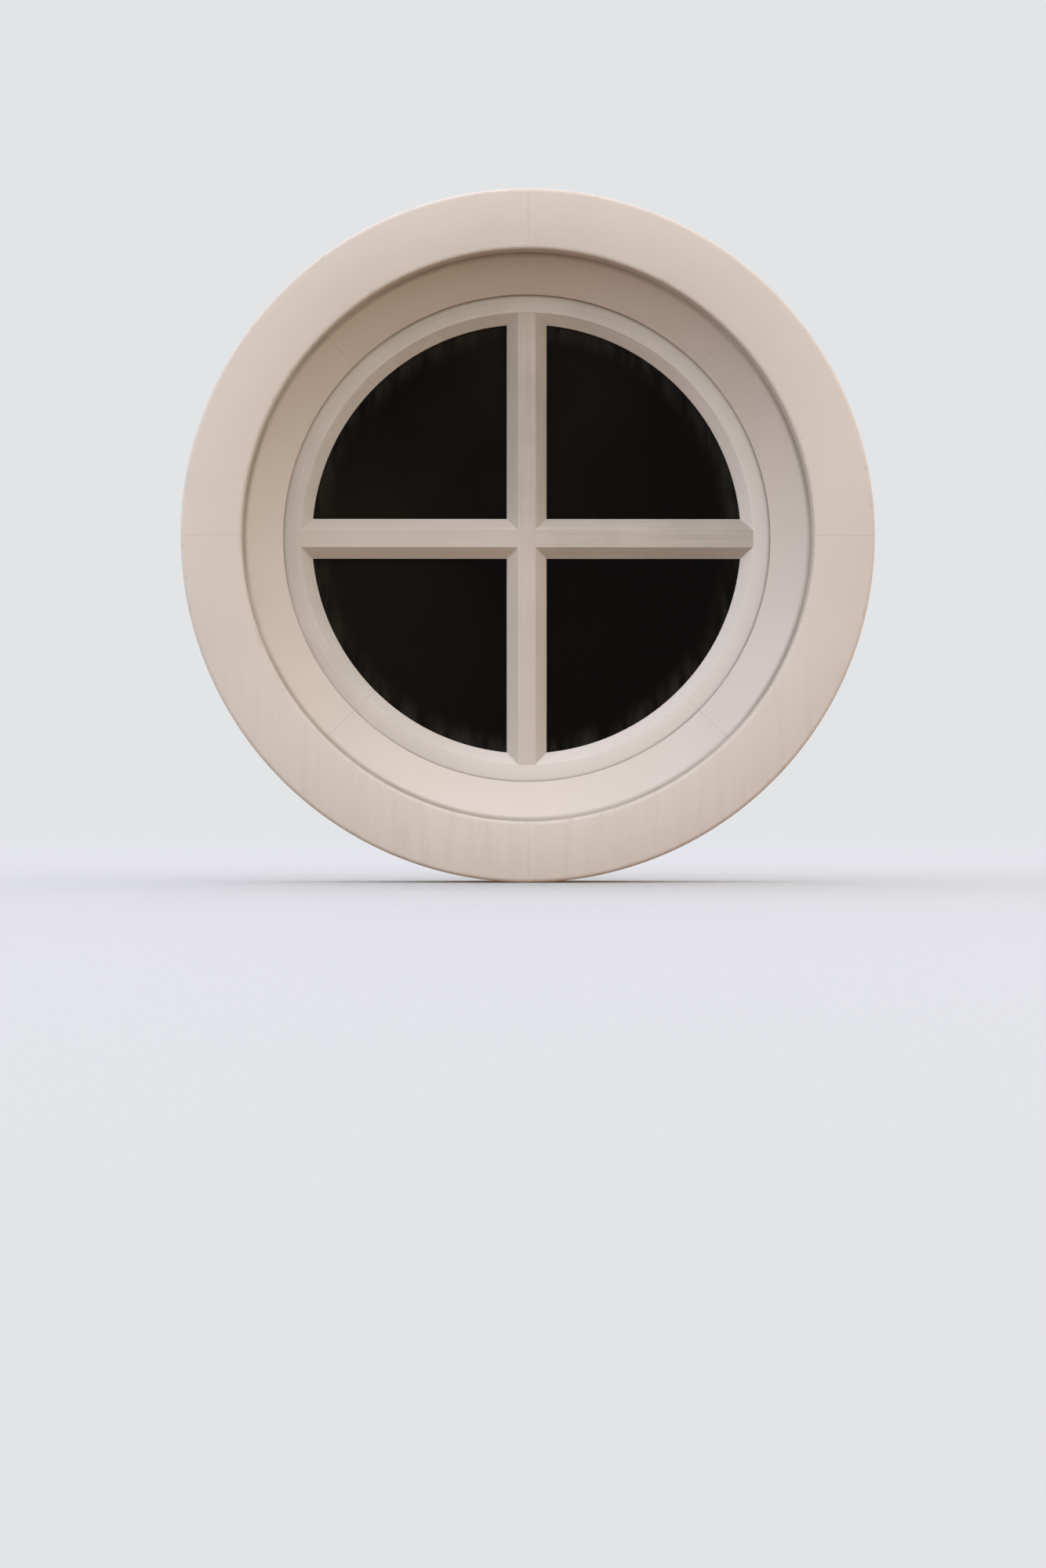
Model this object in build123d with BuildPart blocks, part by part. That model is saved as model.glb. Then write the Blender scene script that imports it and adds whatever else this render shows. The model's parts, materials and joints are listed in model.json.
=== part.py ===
from build123d import *
import os
from math import cos, degrees, radians, sin

os.makedirs("parts", exist_ok=True)

# A fixed round window of four panes, for a round opening in a wall.
# It is seen from outside along +Y, with +X to the right and +Z up.
# The origin is on the window's axis, in the plane of the wall's outer face.
# Sizes are in millimetres. A depth is measured along +Y, into the wall.
# A turn is an angle in degrees, clockwise from the top as seen from outside.

# Face ring: the broad outer ring, crowned and with rounded edges
overall_diameter = 670.0
face_width = 59.0
face_thickness = 36.0
face_proud = 8.0
face_crown = 2.0
face_edge_radius = 4.0

# Jamb ring: carries the splayed reveal in front and the rebate for the sash behind
quirk_width = 2.0
splay_width = 36.0
splay_depth = 34.0
nose_land = 4.0
sash_lap = 12.0
jamb_behind_sash = 2.0
arris_radius = 1.2

# Sash ring: the inner ring, with a bevel towards the glass
sash_seen_width = 28.0
sash_thickness = 50.0
sash_rim_gap = 3.0
bevel_width = 11.0
bevel_depth = 11.0
sight_edge = 3.0
rebate_width = 14.0

# Glazing bars
bar_width = 39.0
tenon_shoulder = 2.0
tenon_inset = 6.0
rim_tenon_length = 12.0
half_bar_tenon_length = 3.5
joinery_gap = 0.2

# Double-glazed quadrants
pane_thickness = 4.0
cavity_depth = 12.0
glass_edge_gap = 3.0
edge_seal_width = 5.0
spacer_width = 6.5
tape_width = 9.0
outer_tape_thickness = 2.0
inner_tape_thickness = 1.0
setting_block_length = 30.0
bar_block_places = (60.0, 155.0)
rim_block_turns = (30.0, 60.0)

# Glazing beads and their pins
bead_chamfer = 3.0
pin_radius = 0.8
pin_head_radius = 1.4
pin_head_height = 0.8
pin_tip = 1.5
pin_length = 18.0
pin_hole_gap = 0.05
pin_depth_in_bead = 6.0
curved_bead_pin_turns = (16.0, 36.0, 54.0, 74.0)
straight_bead_pin_places = (42.0, 108.0, 174.0)

# Weather seal between jamb and sash
seal_gap = 2.0
seal_width = 7.0
seal_rib_width = 3.0
seal_rib_depth = 3.0

# Loose tongues in the segment joints
face_tongue_width = 34.0
face_tongue_thickness = 6.0
face_tongue_length = 40.0
jamb_tongue_width = 46.0
jamb_tongue_thickness = 8.0
jamb_tongue_length = 50.0
jamb_tongue_margin = 21.0
sash_tongue_width = 13.0
sash_tongue_thickness = 6.0
sash_tongue_length = 30.0

# Screws
screw_tip = 4.0
screw_gap = 0.1
hole_mouth = 1.0
head_rim = 0.4
sash_screw_head_radius = 4.5
sash_screw_head_height = 3.0
sash_screw_radius = 2.5
sash_screw_length = 58.0
ring_screw_head_radius = 5.5
ring_screw_head_height = 3.5
ring_screw_radius = 3.0
ring_screw_length = 66.0
ring_screw_pocket_depth = 46.0
ring_screw_pocket_radius = 6.5
strap_screw_head_radius = 4.2
strap_screw_head_height = 2.0
strap_screw_radius = 2.2
strap_screw_length = 34.0

# Fixing straps, let into the rim of the jamb
strap_width = 26.0
strap_thickness = 2.0
strap_cover = 1.0
strap_side_gap = 0.3
strap_hold = 76.0
strap_tail = 78.0
strap_corner_radius = 5.0
strap_screw_spacing = 40.0
strap_screw_margin = 18.0
wall_hole_radius = 3.25
wall_hole_spacing = 40.0
wall_hole_margin = 16.0

# Radii, from the rim inwards
rim_radius = overall_diameter / 2
face_inner_radius = rim_radius - face_width
splay_outer_radius = face_inner_radius - quirk_width
nose_radius = splay_outer_radius - splay_width
housing_radius = nose_radius + sash_lap
sash_rim_radius = housing_radius - sash_rim_gap
sight_radius = nose_radius - sash_seen_width
rebate_radius = sight_radius + rebate_width
glass_radius = rebate_radius - glass_edge_gap
face_middle_radius = (rim_radius + face_inner_radius) / 2
strap_floor_radius = rim_radius - strap_cover - strap_thickness

# Half widths, from a bar's middle outwards
bar_half = bar_width / 2
core_half = bar_half - rebate_width
glass_edge = core_half + glass_edge_gap
tenon_half = core_half - tenon_shoulder

# Depths, from the front backwards
face_front = -face_proud
ring_joint = face_front + face_thickness
splay_back = ring_joint + splay_depth
sash_seat = splay_back + nose_land
sash_front = sash_seat + seal_gap
sight_shoulder = sash_front + bevel_depth + sight_edge
unit_front = sight_shoulder + outer_tape_thickness
unit_thickness = 2 * pane_thickness + cavity_depth
unit_back = unit_front + unit_thickness
bead_front = unit_back + inner_tape_thickness
sash_back = sash_front + sash_thickness
jamb_back = sash_back + jamb_behind_sash
pin_depth = bead_front + pin_depth_in_bead
tenon_front = sight_shoulder + tenon_inset
tenon_back = sash_back - tenon_inset
sash_screw_depth = (sight_shoulder + bead_front) / 2
strap_front = jamb_back - strap_hold
strap_back = jamb_back + strap_tail

# Turns at which the pieces start, as each ring is shared by as many segments as there are
# quadrants, and those of the screws in the middle of each half segment
quadrant_names = ("upper_right", "lower_right", "lower_left", "upper_left")
side_names = ("top", "right", "bottom", "left")
quarter = 360 / len(quadrant_names)
eighth = quarter / 2
quarter_turns = [index * quarter for index in range(len(quadrant_names))]
screw_places = (eighth / 2, quarter - eighth / 2)
screw_turns = [turn + place for turn in quarter_turns for place in screw_places]
quadrants = dict(zip(quadrant_names, quarter_turns))
sides = dict(zip(side_names, quarter_turns))


def direction(turn):
    # The outward radial direction at a turn
    return Vector(sin(radians(turn)), 0, cos(radians(turn)))


def section_plane(turn):
    # A plane through the axis: local x is the radius and local y the depth
    return Plane(origin=(0, 0, 0), x_dir=direction(turn), z_dir=-direction(turn + quarter))


def wall_plane(depth, turn=0.0):
    # A plane parallel to the wall whose local x and y are +X and +Z, turned about the axis
    return Plane(origin=(0, depth, 0), x_dir=direction(turn + quarter), z_dir=(0, -1, 0))


def rim_plane(radius, depth, turn, outward=True):
    # A plane square to a radius, whose local y is the depth and whose normal is the radius
    normal = direction(turn) if outward else -direction(turn)
    origin = direction(turn) * radius + Vector(0, depth, 0)
    return Plane(origin=origin, x_dir=Vector(0, 1, 0).cross(normal), z_dir=normal)


def lengthwise_plane(seat):
    # The plane that holds a fastener's axis: local y points out of its hole
    return Plane(origin=seat.origin, x_dir=seat.x_dir, z_dir=-seat.y_dir)


def ring_piece(section, start, span):
    # Part of a ring, from its section and the turns that it covers
    with BuildPart() as piece:
        with BuildSketch(section_plane(start)):
            add(section)
        revolve(axis=Axis.Y, revolution_arc=span)
    return piece.part


def fastener(seat, head_radius, head_height, shank_radius, length, tip, gap=0.0):
    # A countersunk screw or pin: seat is the top of its head. A gap makes it the hole for one.
    top = hole_mouth if gap else 0.0
    with BuildPart() as body:
        with BuildSketch(lengthwise_plane(seat)):
            with BuildLine():
                Polyline(
                    (0, top),
                    (head_radius + gap, top),
                    (head_radius + gap, -head_rim),
                    (shank_radius + gap, -head_height),
                    (shank_radius + gap, -length + tip),
                    (0, -length - gap),
                    close=True,
                )
            make_face()
        revolve(axis=Axis(seat.origin, seat.z_dir))
    return body.part


def sash_screw(turn, gap=0.0):
    seat = rim_plane(rebate_radius, sash_screw_depth, turn, outward=False)
    return fastener(
        seat,
        sash_screw_head_radius,
        sash_screw_head_height,
        sash_screw_radius,
        sash_screw_length,
        screw_tip,
        gap,
    )


def ring_screw(turn, gap=0.0):
    origin = direction(turn) * face_middle_radius + Vector(0, jamb_back - ring_screw_pocket_depth, 0)
    seat = Plane(origin=origin, x_dir=direction(turn), z_dir=(0, 1, 0))
    return fastener(
        seat,
        ring_screw_head_radius,
        ring_screw_head_height,
        ring_screw_radius,
        ring_screw_length,
        screw_tip,
        gap,
    )


def strap_screw(turn, depth, gap=0.0):
    seat = rim_plane(strap_floor_radius + strap_thickness, depth, turn)
    return fastener(
        seat,
        strap_screw_head_radius,
        strap_screw_head_height,
        strap_screw_radius,
        strap_screw_length,
        screw_tip,
        gap,
    )


def bead_pin(seat, gap=0.0):
    return fastener(
        seat,
        pin_head_radius,
        pin_head_height,
        pin_radius,
        pin_length,
        pin_tip,
        gap,
    )


def tongue(turn, radius, depth, width, thickness, length, gap=0.0):
    # A flat loose tongue across the joint between two segments, or the slot for it
    with BuildPart() as block:
        with BuildSketch(section_plane(turn)):
            with Locations((radius, depth)):
                Rectangle(width + 2 * gap, thickness + 2 * gap)
        extrude(amount=length / 2 + gap, both=True)
    return block.part


def face_tongue(turn, gap=0.0):
    depth = (face_front + ring_joint) / 2
    size = (face_tongue_width, face_tongue_thickness, face_tongue_length)
    return tongue(turn, face_middle_radius, depth, *size, gap)


def jamb_tongues(turn, gap=0.0):
    radius = (rim_radius + housing_radius) / 2
    size = (jamb_tongue_width, jamb_tongue_thickness, jamb_tongue_length)
    depths = (ring_joint + jamb_tongue_margin, jamb_back - jamb_tongue_margin)
    return [tongue(turn, radius, depth, *size, gap) for depth in depths]


def sash_tongue(turn, gap=0.0):
    radius = (sash_rim_radius + rebate_radius) / 2
    depth = (tenon_front + tenon_back) / 2
    size = (sash_tongue_width, sash_tongue_thickness, sash_tongue_length)
    return tongue(turn, radius, depth, *size, gap)


def tenon(turn, start, length, gap=0.0):
    # A bar's tenon from a start radius outwards, or its mortise
    with BuildPart() as block:
        with BuildSketch(rim_plane(start, (tenon_front + tenon_back) / 2, turn)):
            Rectangle(2 * (tenon_half + gap), tenon_back - tenon_front + 2 * gap)
        extrude(amount=length + gap)
    return block.part


def bar_section():
    # Half of the section, with its bevel, sight edge and rebate, mirrored about the bar's middle
    with BuildSketch() as section:
        with BuildLine():
            Polyline(
                (0, sash_front),
                (bar_half - bevel_width, sash_front),
                (bar_half, sash_front + bevel_depth),
                (bar_half, sight_shoulder),
                (core_half, sight_shoulder),
                (core_half, sash_back),
                (0, sash_back),
                close=True,
            )
        make_face()
        mirror(about=Plane.YZ)
        bevel_corners = section.vertices().filter_by(
            lambda corner: corner.Y < sash_front + bevel_depth + arris_radius
        )
        fillet(bevel_corners, arris_radius)
    return section.sketch


def sash_section():
    with BuildSketch() as section:
        with BuildLine():
            Polyline(
                (sight_radius + bevel_width, sash_front),
                (sash_rim_radius, sash_front),
                (sash_rim_radius, sash_back),
                (rebate_radius, sash_back),
                (rebate_radius, sight_shoulder),
                (sight_radius, sight_shoulder),
                (sight_radius, sash_front + bevel_depth),
                close=True,
            )
        make_face()
        bevel_corners = section.vertices().filter_by(
            lambda corner: corner.X < rebate_radius and corner.Y < sight_shoulder - arris_radius
        )
        fillet(bevel_corners, arris_radius)
    return section.sketch


def face_section():
    edge_depth = face_front + face_crown
    with BuildSketch() as section:
        with BuildLine():
            Polyline(
                (face_inner_radius, edge_depth),
                (face_inner_radius, ring_joint),
                (rim_radius, ring_joint),
                (rim_radius, edge_depth),
            )
            ThreePointArc(
                (rim_radius, edge_depth),
                (face_middle_radius, face_front),
                (face_inner_radius, edge_depth),
            )
        make_face()
        fillet(section.vertices().group_by(Axis.Y)[0], face_edge_radius)
    return section.sketch


def jamb_section():
    with BuildSketch() as section:
        with BuildLine():
            Polyline(
                (splay_outer_radius, ring_joint),
                (nose_radius, splay_back),
                (nose_radius, sash_seat),
                (housing_radius, sash_seat),
                (housing_radius, jamb_back),
                (rim_radius, jamb_back),
                (rim_radius, ring_joint),
                close=True,
            )
        make_face()
        fillet(section.vertices().group_by(Axis.X)[0], arris_radius)
        add(seal_rib_section(), mode=Mode.SUBTRACT)
    return section.sketch


def seal_rib_section():
    with BuildSketch() as section:
        with Locations((sash_rim_radius - seal_width / 2, sash_seat)):
            Rectangle(seal_rib_width, seal_rib_depth, align=(Align.CENTER, Align.MAX))
    return section.sketch


def bead_section(floor, sense):
    # A bead in the rebate behind the glass, from the rebate's floor towards the glass
    face = floor + sense * rebate_width
    with BuildSketch() as section:
        with BuildLine():
            Polyline(
                (floor, bead_front),
                (face, bead_front),
                (face, sash_back - bead_chamfer),
                (face - sense * bead_chamfer, sash_back),
                (floor, sash_back),
                close=True,
            )
        make_face()
    return section.sketch


def bead_outline(side):
    # What a straight bead covers: it is mitred at the bars' crossing and scribed to the curved bead
    end = (0, sight_radius) if side > 0 else (sight_radius, 0)
    with BuildSketch() as outline:
        add(quadrant(core_half, sight_radius))
        with BuildLine():
            Polyline((0, 0), end, (sight_radius, sight_radius), close=True)
        make_face(mode=Mode.INTERSECT)
    return outline.sketch


def quadrant(edge, radius):
    # A quarter disc that stays clear of both bars by the same distance from their middles
    with BuildSketch() as outline:
        Circle(radius)
        with Locations((edge, edge)):
            Rectangle(radius, radius, align=(Align.MIN, Align.MIN), mode=Mode.INTERSECT)
    return outline.sketch


def quadrant_plate(turn, depth, thickness, inset=0.0, width=None):
    # A sheet over a glazed quadrant, inset from the glass edge, or a closed band of some width
    with BuildPart() as plate:
        with BuildSketch(wall_plane(depth, turn)):
            add(quadrant(glass_edge + inset, glass_radius - inset))
            if width:
                inner = inset + width
                add(quadrant(glass_edge + inner, glass_radius - inner), mode=Mode.SUBTRACT)
        extrude(amount=-thickness)
    return plate.part


def finish(piece, label):
    piece.label = label
    export_step(piece, f"parts/{label}.step")
    return piece


def group(solids, label):
    # Like pieces that share a node, each a separate solid
    with BuildPart() as pieces:
        for solid in solids:
            add(solid)
    return finish(pieces.part, label)


# Where the curved beads' and straight beads' pins go, as the tops of their heads
def curved_pin_seats(turn):
    places = [turn + place for place in curved_bead_pin_turns]
    return [rim_plane(sight_radius, pin_depth, place, outward=False) for place in places]


def straight_pin_seats(turn, side):
    # side is 1 along the bar at the start of the quadrant and -1 along the bar at its end
    bar_turn = turn if side > 0 else turn + quarter
    along = direction(bar_turn)
    across = direction(bar_turn + side * quarter)
    seats = []
    for place in straight_bead_pin_places:
        origin = along * place + across * bar_half + Vector(0, pin_depth, 0)
        seats.append(Plane(origin=origin, x_dir=along, z_dir=across))
    return seats


# Face ring: four quarters that meet at the top, right, bottom and left
face_profile = face_section()
for name, turn in quadrants.items():
    with BuildPart() as face_segment:
        add(ring_piece(face_profile, turn, quarter))
        for end in (turn, turn + quarter):
            add(face_tongue(end, joinery_gap), mode=Mode.SUBTRACT)
        for place in screw_places:
            add(ring_screw(turn + place, screw_gap), mode=Mode.SUBTRACT)
    finish(face_segment.part, f"face_ring_{name}")
group([face_tongue(turn) for turn in quarter_turns], "face_ring_tongues")

# Jamb ring: four quarters whose joints lie between those of the face ring
jamb_profile = jamb_section()
strap_screw_depths = [strap_front + strap_screw_margin + step * strap_screw_spacing for step in (0, 1)]
for name, turn in sides.items():
    with BuildPart() as jamb_segment:
        add(ring_piece(jamb_profile, turn - eighth, quarter))
        for end in (turn - eighth, turn + eighth):
            for slot in jamb_tongues(end, joinery_gap):
                add(slot, mode=Mode.SUBTRACT)
        with BuildSketch(rim_plane(strap_floor_radius, jamb_back, turn)):
            Rectangle(
                strap_width + 2 * strap_side_gap,
                strap_hold + strap_side_gap,
                align=(Align.CENTER, Align.MAX),
            )
        extrude(amount=strap_cover + strap_thickness, mode=Mode.SUBTRACT)
        for depth in strap_screw_depths:
            add(strap_screw(turn, depth, screw_gap), mode=Mode.SUBTRACT)
        for place in (-eighth / 2, eighth / 2):
            add(sash_screw(turn + place, screw_gap), mode=Mode.SUBTRACT)
            add(ring_screw(turn + place, screw_gap), mode=Mode.SUBTRACT)
            pocket = wall_plane(jamb_back, turn + place)
            with BuildSketch(pocket):
                with Locations((0, face_middle_radius)):
                    Circle(ring_screw_pocket_radius)
            extrude(amount=ring_screw_pocket_depth, mode=Mode.SUBTRACT)
    finish(jamb_segment.part, f"jamb_{name}")
tongue_turns = [turn + eighth for turn in quarter_turns]
group([piece for turn in tongue_turns for piece in jamb_tongues(turn)], "jamb_tongues")
group([ring_screw(turn) for turn in screw_turns], "ring_screws")

# Sash ring: four quarters, each mortised in its middle for a bar
sash_profile = sash_section()
whole_sash = ring_piece(sash_profile, 0, 4 * quarter)
for name, turn in sides.items():
    with BuildPart() as sash_segment:
        add(ring_piece(sash_profile, turn - eighth, quarter))
        for end in (turn - eighth, turn + eighth):
            add(sash_tongue(end, joinery_gap), mode=Mode.SUBTRACT)
        add(tenon(turn, sight_radius, rebate_width + rim_tenon_length, joinery_gap), mode=Mode.SUBTRACT)
        for place in (-eighth / 2, eighth / 2):
            add(sash_screw(turn + place, screw_gap), mode=Mode.SUBTRACT)
        for start in (turn - quarter, turn):
            for place in curved_bead_pin_turns:
                if abs(start + place - turn) < eighth:
                    seat = rim_plane(sight_radius, pin_depth, start + place, outward=False)
                    add(bead_pin(seat, pin_hole_gap), mode=Mode.SUBTRACT)
    finish(sash_segment.part, f"sash_{name}")
group([sash_tongue(turn) for turn in tongue_turns], "sash_tongues")
group([sash_screw(turn) for turn in screw_turns], "sash_screws")

# Glazing bars: an upright one in one length and two level ones, scribed to the sash and tenoned
bar_profile = bar_section()
bar_pin_seats = {
    turn: straight_pin_seats(turn, 1) + straight_pin_seats(turn - quarter, -1) for turn in quarter_turns
}


def bar_blank(turns):
    # A bar from the middle of the window out into the rim, along each of the turns
    with BuildPart() as blank:
        for turn in turns:
            with BuildSketch(Plane((0, 0, 0), x_dir=direction(turn + quarter), z_dir=direction(turn))):
                add(bar_profile)
            extrude(amount=(rebate_radius + sash_rim_radius) / 2)
        add(whole_sash, mode=Mode.SUBTRACT)
        for turn in turns:
            add(tenon(turn, sight_radius, rebate_width + rim_tenon_length))
            for seat in bar_pin_seats[turn]:
                add(bead_pin(seat, pin_hole_gap), mode=Mode.SUBTRACT)
    return blank.part


upright_blank = bar_blank((sides["top"], sides["bottom"]))
stub_start = core_half - half_bar_tenon_length
with BuildPart() as upright_bar:
    add(upright_blank)
    for turn in (sides["left"], sides["right"]):
        socket_start = stub_start - joinery_gap
        add(tenon(turn, socket_start, half_bar_tenon_length, joinery_gap), mode=Mode.SUBTRACT)
finish(upright_bar.part, "glazing_bar_upright")
for name in ("left", "right"):
    with BuildPart() as level_bar:
        add(bar_blank((sides[name],)))
        add(upright_blank, mode=Mode.SUBTRACT)
        add(tenon(sides[name], stub_start, half_bar_tenon_length))
    finish(level_bar.part, f"glazing_bar_{name}")

# Double-glazed quadrants, their tapes and their beads
outer_tapes = []
inner_tapes = []
for name, turn in quadrants.items():
    finish(quadrant_plate(turn, unit_front, pane_thickness), f"outer_pane_{name}")
    spacer_depth = unit_front + pane_thickness
    finish(
        quadrant_plate(turn, spacer_depth, cavity_depth, edge_seal_width, spacer_width),
        f"spacer_{name}",
    )
    finish(quadrant_plate(turn, spacer_depth, cavity_depth, 0.0, edge_seal_width), f"edge_seal_{name}")
    finish(
        quadrant_plate(turn, spacer_depth + cavity_depth, pane_thickness),
        f"inner_pane_{name}",
    )
    outer_tapes.append(quadrant_plate(turn, sight_shoulder, outer_tape_thickness, 0.0, tape_width))
    inner_tapes.append(quadrant_plate(turn, unit_back, inner_tape_thickness, 0.0, tape_width))
group(outer_tapes, "glazing_tapes_outer")
group(inner_tapes, "glazing_tapes_inner")

pins = []
for name, turn in quadrants.items():
    seats = curved_pin_seats(turn)
    pins += [bead_pin(seat) for seat in seats]
    with BuildPart() as curved_bead:
        add(ring_piece(bead_section(rebate_radius, -1), turn, quarter))
        with BuildSketch(wall_plane(bead_front, turn)):
            add(quadrant(core_half, sash_rim_radius))
        extrude(amount=bead_front - sash_back, mode=Mode.INTERSECT)
        for seat in seats:
            add(bead_pin(seat, pin_hole_gap), mode=Mode.SUBTRACT)
    finish(curved_bead.part, f"bead_curved_{name}")
    for side, bar_turn in ((1, turn), (-1, turn + quarter)):
        seats = straight_pin_seats(turn, side)
        pins += [bead_pin(seat) for seat in seats]
        across = direction(bar_turn + side * quarter)
        with BuildPart() as straight_bead:
            with BuildSketch(Plane((0, 0, 0), x_dir=across, z_dir=side * direction(bar_turn))):
                add(bead_section(core_half, 1))
            extrude(amount=side * sight_radius)
            with BuildSketch(wall_plane(bead_front, turn)):
                add(bead_outline(side))
            extrude(amount=bead_front - sash_back, mode=Mode.INTERSECT)
            for seat in seats:
                add(bead_pin(seat, pin_hole_gap), mode=Mode.SUBTRACT)
        kind = "upright" if bar_turn % (2 * quarter) == 0 else "level"
        finish(straight_bead.part, f"bead_{kind}_{name}")
group(pins, "bead_pins")

# Setting blocks under the glass: flat ones on the level bars and curved ones on the lower rim
with BuildPart() as bar_blocks:
    with BuildSketch(wall_plane(unit_front)):
        for place in bar_block_places:
            with Locations((-place, core_half), (place, core_half)):
                Rectangle(setting_block_length, glass_edge_gap, align=(Align.CENTER, Align.MIN))
    extrude(amount=-unit_thickness)
finish(bar_blocks.part, "setting_blocks_bar")
with BuildSketch() as rim_block_section:
    with Locations((glass_radius, unit_front)):
        Rectangle(glass_edge_gap, unit_thickness, align=(Align.MIN, Align.MIN))
rim_block_span = degrees(setting_block_length / rebate_radius)
rim_block_starts = [
    sides["bottom"] + sign * place - rim_block_span / 2 for place in rim_block_turns for sign in (-1, 1)
]
group(
    [ring_piece(rim_block_section.sketch, start, rim_block_span) for start in rim_block_starts],
    "setting_blocks_rim",
)

# Weather seal: a flat ring between the jamb and the sash, held by a rib in a groove in the jamb
with BuildSketch() as seal_section:
    with Locations((sash_rim_radius, sash_seat)):
        Rectangle(seal_width, seal_gap, align=(Align.MAX, Align.MIN))
    add(seal_rib_section())
finish(ring_piece(seal_section.sketch, 0, 4 * quarter), "weather_seal")

# Fixing straps, screwed into the jamb's rim, with two holes for screws into the wall
strap_length = strap_back - strap_front
wall_hole_places = [strap_length - wall_hole_margin - step * wall_hole_spacing for step in (0, 1)]
for name, turn in sides.items():
    with BuildPart() as strap:
        with BuildSketch(rim_plane(strap_floor_radius, strap_front, turn)) as outline:
            Rectangle(strap_width, strap_length, align=(Align.CENTER, Align.MIN))
            fillet(outline.vertices(), strap_corner_radius)
            with Locations(*[(0, place) for place in wall_hole_places]):
                Circle(wall_hole_radius, mode=Mode.SUBTRACT)
        extrude(amount=strap_thickness)
        for depth in strap_screw_depths:
            add(strap_screw(turn, depth, screw_gap), mode=Mode.SUBTRACT)
    finish(strap.part, f"fixing_strap_{name}")
group(
    [strap_screw(turn, depth) for turn in quarter_turns for depth in strap_screw_depths],
    "strap_screws",
)
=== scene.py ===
import json
import math

import bmesh
import bpy
from mathutils import Matrix, Vector


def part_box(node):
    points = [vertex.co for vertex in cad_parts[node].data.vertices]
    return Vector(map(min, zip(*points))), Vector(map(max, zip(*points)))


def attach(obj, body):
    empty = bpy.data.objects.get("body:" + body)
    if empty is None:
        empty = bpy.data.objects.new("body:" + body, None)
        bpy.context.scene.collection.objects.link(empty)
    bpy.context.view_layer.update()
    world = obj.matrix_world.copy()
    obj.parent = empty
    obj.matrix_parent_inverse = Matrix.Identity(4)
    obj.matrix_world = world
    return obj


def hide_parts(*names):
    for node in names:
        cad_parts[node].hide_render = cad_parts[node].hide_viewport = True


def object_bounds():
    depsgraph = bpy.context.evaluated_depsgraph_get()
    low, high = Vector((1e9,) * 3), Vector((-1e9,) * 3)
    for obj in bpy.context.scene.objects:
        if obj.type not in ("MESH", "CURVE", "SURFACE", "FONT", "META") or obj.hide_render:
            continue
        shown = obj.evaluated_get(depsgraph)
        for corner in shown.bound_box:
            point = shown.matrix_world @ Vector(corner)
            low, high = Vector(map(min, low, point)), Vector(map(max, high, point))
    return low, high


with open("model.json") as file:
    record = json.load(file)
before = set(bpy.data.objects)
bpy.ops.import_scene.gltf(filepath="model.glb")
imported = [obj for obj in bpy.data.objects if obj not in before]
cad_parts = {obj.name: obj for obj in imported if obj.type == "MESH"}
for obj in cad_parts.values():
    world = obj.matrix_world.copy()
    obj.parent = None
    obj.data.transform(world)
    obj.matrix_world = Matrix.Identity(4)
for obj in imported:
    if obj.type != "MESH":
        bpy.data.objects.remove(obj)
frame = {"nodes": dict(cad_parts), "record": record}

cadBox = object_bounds()
mm = 0.001
print("frame loaded:", len(frame["nodes"]), "nodes")


class Wire:
    # One output of a node, so that sums with it are written as plain Python
    def __init__(self, graph, socket):
        self.graph = graph
        self.socket = socket

    def __add__(self, other):
        return self.graph.maths("ADD", self, other)

    def __radd__(self, other):
        return self.graph.maths("ADD", other, self)

    def __sub__(self, other):
        return self.graph.maths("SUBTRACT", self, other)

    def __rsub__(self, other):
        return self.graph.maths("SUBTRACT", other, self)

    def __mul__(self, other):
        return self.graph.maths("MULTIPLY", self, other)

    def __rmul__(self, other):
        return self.graph.maths("MULTIPLY", other, self)

    def __truediv__(self, other):
        return self.graph.maths("DIVIDE", self, other)

    def __rtruediv__(self, other):
        return self.graph.maths("DIVIDE", other, self)


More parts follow.
